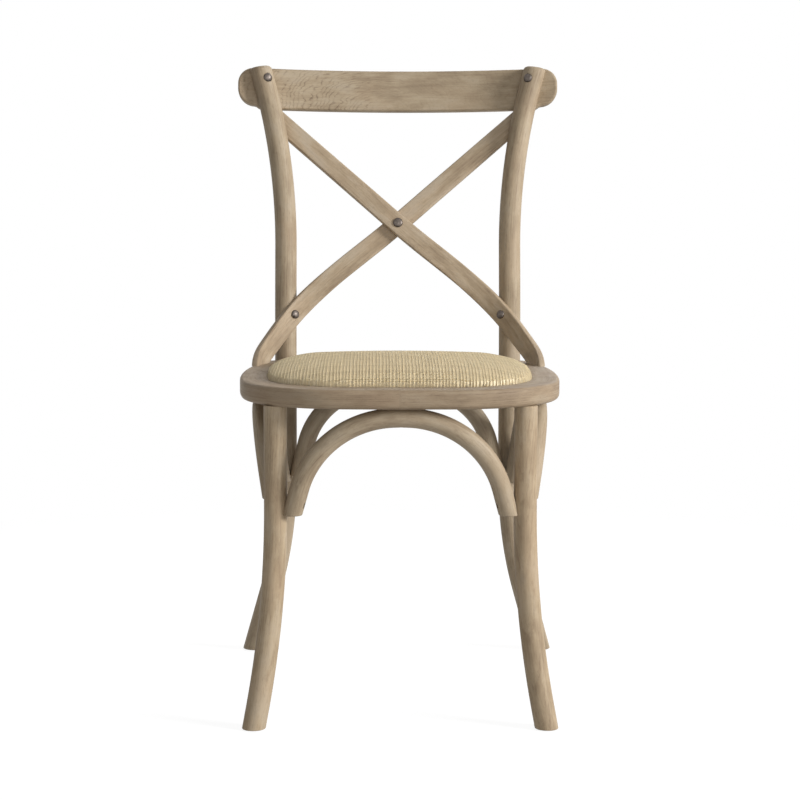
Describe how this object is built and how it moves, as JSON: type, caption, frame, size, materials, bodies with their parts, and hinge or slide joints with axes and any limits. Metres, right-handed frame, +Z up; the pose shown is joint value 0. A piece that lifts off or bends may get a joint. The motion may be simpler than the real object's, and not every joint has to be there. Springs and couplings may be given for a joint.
{
  "type": "cross back dining chair",
  "caption": "Bent oak dining chair with crossed strips in its back, a bowed top rail, a woven drop-in seat and arches between its splayed legs.",
  "frame": {"origin": "on the floor, at the middle of the chair's width and depth", "axes": "+Z up, -Y the way the sitter faces, +X to the right seen from the front"},
  "size_m": [0.478, 0.545, 0.89],
  "materials": {
    "oak": "limed, matt",
    "plywood": "raw",
    "rattan": "woven natural rattan",
    "foam": "open cell",
    "cloth": "nonwoven",
    "dark_steel": "antique dark",
    "glide_plastic": "matt"
  },
  "bodies": {
    "root": {"seat_ring": "oak", "top_rail": "oak", "rear_post_left": "oak", "rear_post_right": "oak", "front_leg_left": "oak", "front_leg_right": "oak", "cross_brace_front": "oak", "cross_brace_rear": "oak", "front_arch": "oak", "rear_arch": "oak", "side_arch_left": "oak", "side_arch_right": "oak", "seat_board": "plywood", "seat_foam": "foam", "rattan_cover": "rattan", "underside_cloth": "cloth", "rail_screws": "dark_steel", "brace_lower_screws": "dark_steel", "brace_upper_screws": "dark_steel", "brace_foot_screws": "dark_steel", "centre_screw": "dark_steel", "centre_nut": "dark_steel", "arch_end_screws": "dark_steel", "arch_top_screws": "dark_steel", "pad_screws": "dark_steel", "post_bolts": "dark_steel", "post_washers": "dark_steel", "post_nuts": "dark_steel", "foot_glide_front_left": "glide_plastic", "foot_glide_front_right": "glide_plastic", "foot_glide_rear_left": "glide_plastic", "foot_glide_rear_right": "glide_plastic"}
  },
  "joints": []
}
